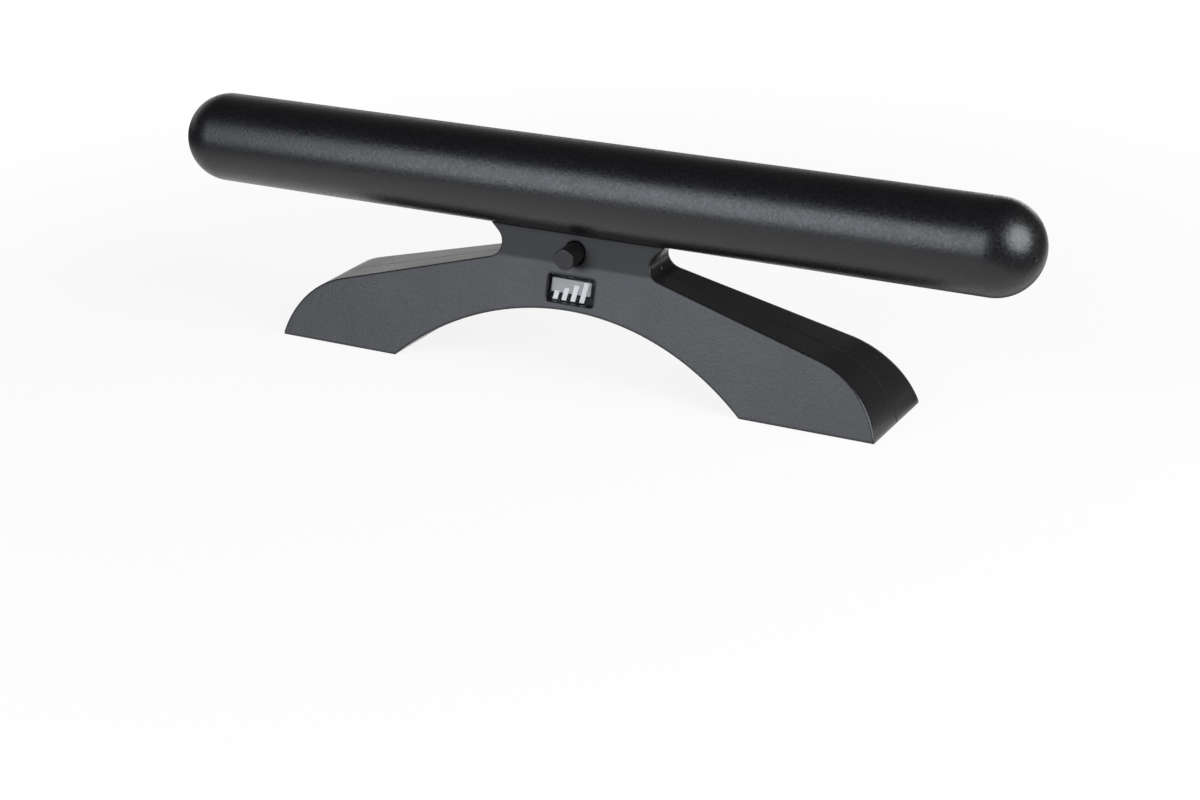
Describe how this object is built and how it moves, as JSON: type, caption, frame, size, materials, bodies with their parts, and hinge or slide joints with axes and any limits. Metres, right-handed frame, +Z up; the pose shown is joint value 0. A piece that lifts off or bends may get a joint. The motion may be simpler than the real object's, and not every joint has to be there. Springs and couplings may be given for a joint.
{
  "type": "indoor tv antenna",
  "caption": "Amplified indoor television antenna: dipole in a long round-ended tube on an arched stand, with a small sign window and a rotary gain knob.",
  "frame": {"origin": "centre of the stand's footprint, on the surface that it stands on", "axes": "+X along the tube, to the right as seen from the front; +Y to the rear; +Z up"},
  "size_m": [0.3266, 0.039, 0.0815],
  "materials": {
    "radome_plastic": "satin moulded black plastic",
    "stand_plastic": "fine-grained moulded charcoal plastic",
    "knob_plastic": "satin moulded black plastic",
    "lens_acrylic": "polished clear acrylic",
    "sign_print": "black printed plate with plain white bars",
    "board_laminate": "green solder mask",
    "component_epoxy": "black moulded epoxy",
    "capacitor_sleeve": "dark shrink sleeve",
    "led_resin": "clear epoxy",
    "ferrite": "sintered ferrite",
    "socket_metal": "nickel plate",
    "insulator_polymer": "white polymer",
    "contact_metal": "bright brass",
    "holder_polymer": "natural polymer",
    "strip_metal": "mill finish",
    "wire_metal": "tinned copper wire",
    "screw_steel": "zinc plate"
  },
  "bodies": {
    "stand": {"radome_tube": "radome_plastic", "left_end_cap": "radome_plastic", "right_end_cap": "radome_plastic", "front_shell": "stand_plastic", "rear_shell": "stand_plastic", "sign_lens": "lens_acrylic", "sign_plate": "sign_print", "trimmer_housing": "component_epoxy", "amplifier_board": "board_laminate", "board_transistors": "component_epoxy", "filter_capacitors": "capacitor_sleeve", "balun_core": "ferrite", "indicator_led": "led_resin", "coax_socket": "socket_metal", "coax_insulator": "insulator_polymer", "coax_contact": "contact_metal", "dipole_holder": "holder_polymer", "left_dipole_strip": "strip_metal", "right_dipole_strip": "strip_metal", "left_strip_spacer": "holder_polymer", "right_strip_spacer": "holder_polymer", "left_feed_wire": "wire_metal", "right_feed_wire": "wire_metal", "strip_screws": "screw_steel", "board_screws": "screw_steel", "case_screws": "screw_steel"},
    "gain_control": {"gain_knob": "knob_plastic", "trimmer_rotor": "insulator_polymer"}
  },
  "joints": [
    {"name": "gain_turn", "type": "hinge", "parent": "stand", "child": "gain_control", "pos_m": [0, -0.008, 0.044], "axis": [0, 1, 0], "range_deg": [-130, 130]}
  ]
}
